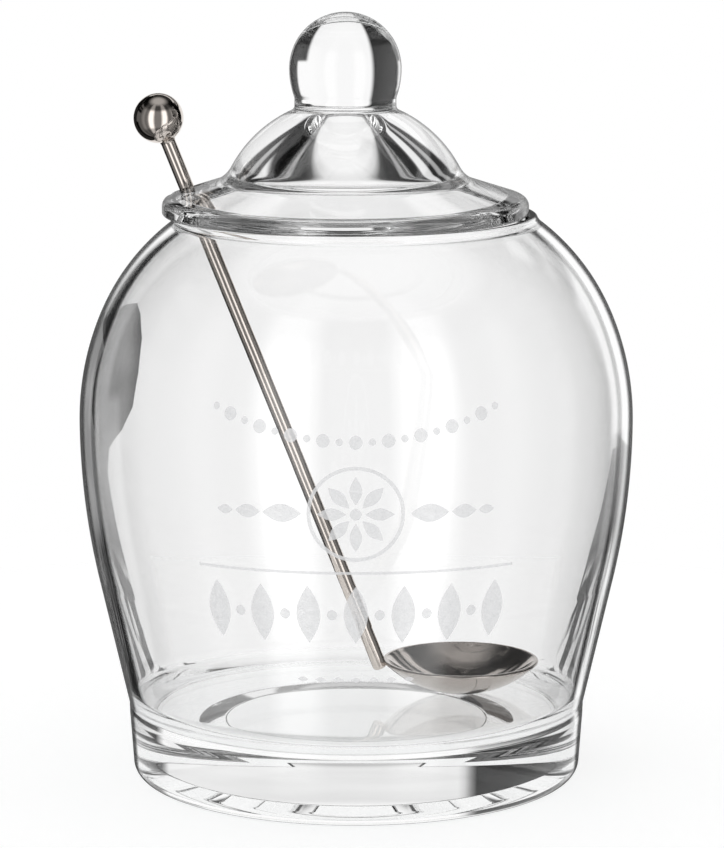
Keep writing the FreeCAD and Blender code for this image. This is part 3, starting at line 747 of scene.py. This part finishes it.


# Painted shade at the glass's outside edges: the colour darkens from the first slant to the second, down to the last
# level.
JAR_EDGE_SHADE = {"from": 0.978, "to": 0.991, "painted_edge_shade": 0.13}
LID_EDGE_SHADE = {"from": 0.97, "to": 1.0, "painted_edge_shade": 0.35}
JAR_GLASS = glass_material("jar_glass", (0.77, 0.81), JAR_EDGE_SHADE, 30, 0.05 * MM, BASE_ZONE)
LID_GLASS = glass_material("lid_glass", (-0.2, -0.1), LID_EDGE_SHADE, 45, 0.04 * MM)
STEEL = steel_material("polished_steel", (0.72, 0.66, 0.61, 1), 0.04, 0.12)
# Painted shade: a darker copy of the spoon's steel for the bowl, with the same gloss as the rod and ball.
SHADED_BOWL_STEEL = steel_material("shaded_bowl_steel", (0.5, 0.46, 0.43, 1), 0.04, 0.12)
FROST = frost_material("frosted_print")
JAR = JarForm()
SPOON = SpoonForm(JAR)
make_jar()
make_ornament()
make_lid()
make_bowl()
make_rod()
make_ball()

# ---------------------------------------------------------------- stage

LENS = {"length": 171.34, "sensor": 36}
EYE = (1.31 * MM, -900 * MM, 240 * MM)
DIP = math.radians(10.05)

# The studio's light by azimuth, in degrees from straight behind the jar towards +X: low down and higher up
# behind the jar, the windows and the dim room on the camera's side, and what thick glass shows of that side.
BEHIND_LOW = [(-78, 0.9), (-72, 0.02), (-22, 0.02), (-19, 1.0), (30, 1.0), (34, 0.02), (72, 0.02), (78, 0.9)]
BEHIND = [(-66, 0.9), (-60, 0.02), (-22, 0.02), (-19, 1.0), (45, 1.0), (49, 0.02), (74, 0.02), (80, 0.9)]
ROOM = [
    (-166, 0.26), (-155, 1.6), (-141, 1.6), (-132, 0.26), (-122, 0.16), (-110, 0.3), (-90, 0.1),
    (90, 0.1), (110, 0.3), (122, 0.16), (132, 0.26), (141, 1.6), (155, 1.6), (166, 0.26),
]
THROUGH = [
    (-134, 0.95), (-130, 0.3), (-114, 0.3), (-110, 0.9), (110, 0.9), (122, 0.9), (126, 0.3), (156, 0.3), (160, 0.95),
]
# The white wall behind by height, in degrees: its top, and two strips of light in the dark above it.
WALL_TOP = [
    (15, 1.0), (17, 0.04), (22.5, 0.04), (24, 0.5), (26.5, 0.5), (28, 0.03), (31, 0.03),
    (32.5, 0.9), (38, 0.9), (39.5, 0.03), (60, 0.03),
]
# Angles in degrees over which the studio changes, and levels of light.
BRIGHTEST = 2.0
FLOOR_LEVEL = (-12, -9)
SIDES, SIDES_LOSE = (50, 60), 0.85
CAMERA_SIDE = (84, 96)
WINDOW_TOP, ABOVE_WINDOW = (30, 46), 0.25
WINDOW_FOOT, BELOW_WINDOW = (-48, -34), 0.4
OVERHEAD, OVERHEAD_LIGHT = (52, 78), 0.5
FILL_LIGHT = 0.8

FLOOR = {"radius": 0.30, "fade": 0.18, "color": (0.9, 0.9, 0.9, 1), "glow": 0.30, "near": 0.056, "far": 0.09}

# The inner edges of the two sheets of painted shade, across and up, in millimetres.
SHADE_SHEET_LEFT = [
    (-70, 104), (-61, 102), (-58.5, 98), (-57, 91), (-57.5, 82), (-59, 73), (-63, 67), (-69, 62.5), (-70.5, 56),
    (-67.5, 43), (-64.5, 33), (-60, 20), (-53, 11), (-42, 5), (-36, 0.5),
]
SHADE_SHEET_RIGHT = [(76, 62), (70, 48), (65.5, 38), (61, 25), (54, 15), (44, 7), (38, 0.5)]
# Painted shade: the sheets glow at a grey level and are seen only through the glass, where they paint dark patches at
# the jar's edges.
SHADE_SHEET = {"back": 56 * MM, "lean": 0.16, "width": 60 * MM, "level": 0.42, "patchy_shade": 45}
SHEET_EDGE_SHADE_RUN, SHEET_EDGE_SHADE_LEVEL = (56 * MM, 63 * MM), 0.4
SHEET_LOW_SHADE_RUN, SHEET_LOW_SHADE_LEVEL = (26 * MM, 46 * MM), 0.5
STRIPS = {"slope": 0.55, "length": 0.15, "scale": 330, "cut": (0.46, 0.53), "levels": (38 * MM, 26 * MM)}


def make_camera():
    """The camera, at the photo's place and angle."""
    lens = bpy.data.cameras.new("camera")
    camera = bpy.data.objects.new("camera", lens)
    bpy.context.collection.objects.link(camera)
    bpy.context.scene.camera = camera
    lens.lens = LENS["length"]
    lens.sensor_width = LENS["sensor"]
    lens.sensor_fit = "AUTO"
    lens.clip_end = 20
    camera.location = EYE
    camera.rotation_euler = (math.pi / 2 - DIP, 0, 0)


def levels_over(nodes, links, angle, stops):
    """Levels of light along an angle in degrees, from -180 to 180."""
    ramp = nodes.new("ShaderNodeValToRGB")
    ramp.color_ramp.interpolation = "LINEAR"
    marks = ramp.color_ramp.elements
    while len(marks) > 1:
        marks.remove(marks[-1])
    for index, (degrees, level) in enumerate(stops):
        mark = marks[0] if index == 0 else marks.new(0.5 + degrees / 360)
        mark.position = 0.5 + degrees / 360
        mark.color = (level / BRIGHTEST,) * 3 + (1,)
    share = math_node(nodes, links, "MULTIPLY_ADD", angle, 1 / 360, 0.5)
    links.new(share, ramp.inputs["Fac"])
    return math_node(nodes, links, "MULTIPLY", ramp.outputs["Color"], BRIGHTEST)


def slanted_ray(nodes, links, rays):
    """One for a ray that comes out of glass at a slant, which its slight roughness marks."""
    not_sharp = math_node(nodes, links, "SUBTRACT", 1.0, rays.outputs["Is Singular Ray"])
    return math_node(nodes, links, "MULTIPLY", rays.outputs["Is Transmission Ray"], not_sharp)


def mirrored_ray(nodes, links, rays):
    """One for a ray that was mirrored on its way."""
    return math_node(nodes, links, "GREATER_THAN", rays.outputs["Glossy Depth"], 0.5)


def studio_ray(nodes, links, rays):
    """One for a ray that sees the studio, which is a mirrored or a slanted one, but none from a dull surface."""
    either = math_node(nodes, links, "MAXIMUM", mirrored_ray(nodes, links, rays), slanted_ray(nodes, links, rays))
    not_diffuse = math_node(nodes, links, "SUBTRACT", 1.0, rays.outputs["Is Diffuse Ray"])
    return math_node(nodes, links, "MULTIPLY", either, not_diffuse)


def studio_world():
    """White for what is seen straight or through thin glass, and the studio for reflections and thick glass."""
    world = bpy.data.worlds.new("studio")
    bpy.context.scene.world = world
    world.use_nodes = True
    nodes, links = world.node_tree.nodes, world.node_tree.links
    nodes.clear()
    out = nodes.new("ShaderNodeOutputWorld")
    back = nodes.new("ShaderNodeBackground")
    back.inputs["Color"].default_value = (1, 1, 1, 1)
    links.new(back.outputs["Background"], out.inputs["Surface"])
    heading = nodes.new("ShaderNodeSeparateXYZ")
    links.new(nodes.new("ShaderNodeTexCoord").outputs["Generated"], heading.inputs["Vector"])
    turn = math_node(nodes, links, "ARCTAN2", heading.outputs["X"], heading.outputs["Y"])
    around = math_node(nodes, links, "DEGREES", turn)
    height = math_node(nodes, links, "DEGREES", math_node(nodes, links, "ARCSINE", heading.outputs["Z"]))
    beside = math_node(nodes, links, "ABSOLUTE", around)
    rays = nodes.new("ShaderNodeLightPath")
    mirrored = mirrored_ray(nodes, links, rays)

    low = levels_over(nodes, links, around, BEHIND_LOW)
    high = levels_over(nodes, links, around, BEHIND)
    behind = blend_by(nodes, links, low, high, ease(nodes, links, height, *FLOOR_LEVEL))
    behind = math_node(nodes, links, "MULTIPLY", behind, levels_over(nodes, links, height, WALL_TOP))
    sides = math_node(nodes, links, "MULTIPLY", ease(nodes, links, beside, *SIDES, 0.0, SIDES_LOSE), mirrored)
    behind = math_node(nodes, links, "MULTIPLY", behind, math_node(nodes, links, "SUBTRACT", 1.0, sides))
    room = levels_over(nodes, links, around, ROOM)
    room = math_node(nodes, links, "MULTIPLY", room, ease(nodes, links, height, *WINDOW_TOP, 1.0, ABOVE_WINDOW))
    room = math_node(nodes, links, "MULTIPLY", room, ease(nodes, links, height, *WINDOW_FOOT, BELOW_WINDOW, 1.0))
    front = blend_by(nodes, links, levels_over(nodes, links, around, THROUGH), room, mirrored)
    walls = blend_by(nodes, links, behind, front, ease(nodes, links, beside, *CAMERA_SIDE))
    overhead = math_node(nodes, links, "MULTIPLY", ease(nodes, links, height, *OVERHEAD), OVERHEAD_LIGHT)
    studio = math_node(nodes, links, "MAXIMUM", walls, overhead)

    seen = math_node(nodes, links, "MAXIMUM", rays.outputs["Is Camera Ray"], rays.outputs["Is Transmission Ray"])
    plain = math_node(nodes, links, "MULTIPLY_ADD", seen, 1.0 - FILL_LIGHT, FILL_LIGHT)
    level = blend_by(nodes, links, plain, studio, studio_ray(nodes, links, rays))
    links.new(level, back.inputs["Strength"])


def make_floor():
    """A round white floor that fades into the white surroundings. Thick glass and steel see it near the jar
    alone, and the studio beyond."""
    radius = FLOOR["radius"]
    piece = spin("floor", [(0, 0), (radius, 0)], 96)
    material, nodes, links, out = new_material("floor_white")
    shader = nodes.new("ShaderNodeBsdfDiffuse")
    shader.inputs["Color"].default_value = FLOOR["color"]
    glow = nodes.new("ShaderNodeEmission")
    rays = nodes.new("ShaderNodeLightPath")
    seen = math_node(nodes, links, "SUBTRACT", 1.0, rays.outputs["Is Diffuse Ray"])
    links.new(math_node(nodes, links, "MULTIPLY", seen, FLOOR["glow"]), glow.inputs["Strength"])
    lit = nodes.new("ShaderNodeAddShader")
    links.new(shader.outputs[0], lit.inputs[0])
    links.new(glow.outputs[0], lit.inputs[1])
    clear = nodes.new("ShaderNodeBsdfTransparent")
    distance = nodes.new("ShaderNodeVectorMath")
    distance.operation = "LENGTH"
    links.new(own_place(nodes), distance.inputs[0])
    out_there = distance.outputs["Value"]
    open_all = ease(nodes, links, out_there, radius - FLOOR["fade"], radius)
    beyond = ease(nodes, links, out_there, FLOOR["near"], FLOOR["far"])
    open_near = math_node(nodes, links, "MULTIPLY", beyond, studio_ray(nodes, links, rays))
    opened = math_node(nodes, links, "MAXIMUM", open_all, open_near)
    links.new(mixed(nodes, links, lit, clear, opened).outputs[0], out.inputs["Surface"])
    piece.data.materials.append(material)


def shade_sheet_material(name, side):
    """A glowing grey sheet of painted shade, patchy, and painted darker low down and at its inner edge. Near the floor
    it is cut into strips.
    Slanted rays out of the glass see it, and no others do."""
    material, nodes, links, out = new_material(name)
    place = own_place(nodes)
    spot = nodes.new("ShaderNodeSeparateXYZ")
    links.new(place, spot.inputs["Vector"])
    across, height = spot.outputs["X"], spot.outputs["Z"]
    beside = math_node(nodes, links, "ABSOLUTE", across)
    inner = ease(nodes, links, beside, *SHEET_EDGE_SHADE_RUN, SHEET_EDGE_SHADE_LEVEL, 1.0)
    low = ease(nodes, links, height, *SHEET_LOW_SHADE_RUN, SHEET_LOW_SHADE_LEVEL, 1.0)
    inner = math_node(nodes, links, "MAXIMUM", inner, math_node(nodes, links, "SUBTRACT", 1.0 + SHEET_EDGE_SHADE_LEVEL, low))
    shade = math_node(nodes, links, "MULTIPLY", math_node(nodes, links, "MULTIPLY", inner, low), SHADE_SHEET["level"])
    patchy_shade = ease(nodes, links, noise(nodes, links, place, SHADE_SHEET["patchy_shade"], 2), 0.3, 0.7, 0.8, 1.2)
    # Painted shade: the sheet's glow, darker low down and at its inner edge and patchy, paints dark patches into the
    # glass.
    glow = nodes.new("ShaderNodeEmission")
    links.new(math_node(nodes, links, "MULTIPLY", shade, patchy_shade), glow.inputs["Strength"])
    fall = math_node(nodes, links, "MULTIPLY", height, STRIPS["slope"])
    along = nodes.new("ShaderNodeCombineXYZ")
    links.new(math_node(nodes, links, "MULTIPLY_ADD", across, -side, fall), along.inputs["X"])
    links.new(math_node(nodes, links, "MULTIPLY", height, STRIPS["length"]), along.inputs["Y"])
    strips = ease(nodes, links, noise(nodes, links, along.outputs["Vector"], STRIPS["scale"], 1), *STRIPS["cut"])
    gaps = math_node(nodes, links, "MULTIPLY", strips, ease(nodes, links, height, *STRIPS["levels"]))
    rays = nodes.new("ShaderNodeLightPath")
    unseen = math_node(nodes, links, "SUBTRACT", 1.0, slanted_ray(nodes, links, rays))
    clear = nodes.new("ShaderNodeBsdfTransparent")
    opened = math_node(nodes, links, "MAXIMUM", gaps, unseen)
    links.new(mixed(nodes, links, glow, clear, opened).outputs[0], out.inputs["Surface"])
    return material


def make_shade_sheet(name, outline, side):
    """A glowing grey sheet of painted shade close behind the jar, which shows through the glass at the jar's edge."""
    verts, faces = [], []
    for index, (across, height) in enumerate(outline):
        depth = SHADE_SHEET["back"] + SHADE_SHEET["lean"] * height * MM
        verts += [(across * MM, depth, height * MM), (across * MM + side * SHADE_SHEET["width"], depth, height * MM)]
        if index:
            faces.append((2 * index - 2, 2 * index, 2 * index + 1, 2 * index - 1))
    piece = mesh_object(name, verts, faces)
    piece.data.materials.append(shade_sheet_material(name, side))
    piece.visible_camera = False
    piece.visible_diffuse = False
    piece.visible_glossy = False
    piece.visible_shadow = False


make_camera()
studio_world()
make_floor()
make_shade_sheet("shade_sheet_left", SHADE_SHEET_LEFT, -1)
make_shade_sheet("shade_sheet_right", SHADE_SHEET_RIGHT, 1)

view = bpy.context.scene.view_settings
view.view_transform = "Standard"
cycles = bpy.context.scene.cycles
cycles.max_bounces = GLASS_BOUNCES
cycles.transmission_bounces = GLASS_BOUNCES
cycles.glossy_bounces = GLASS_BOUNCES
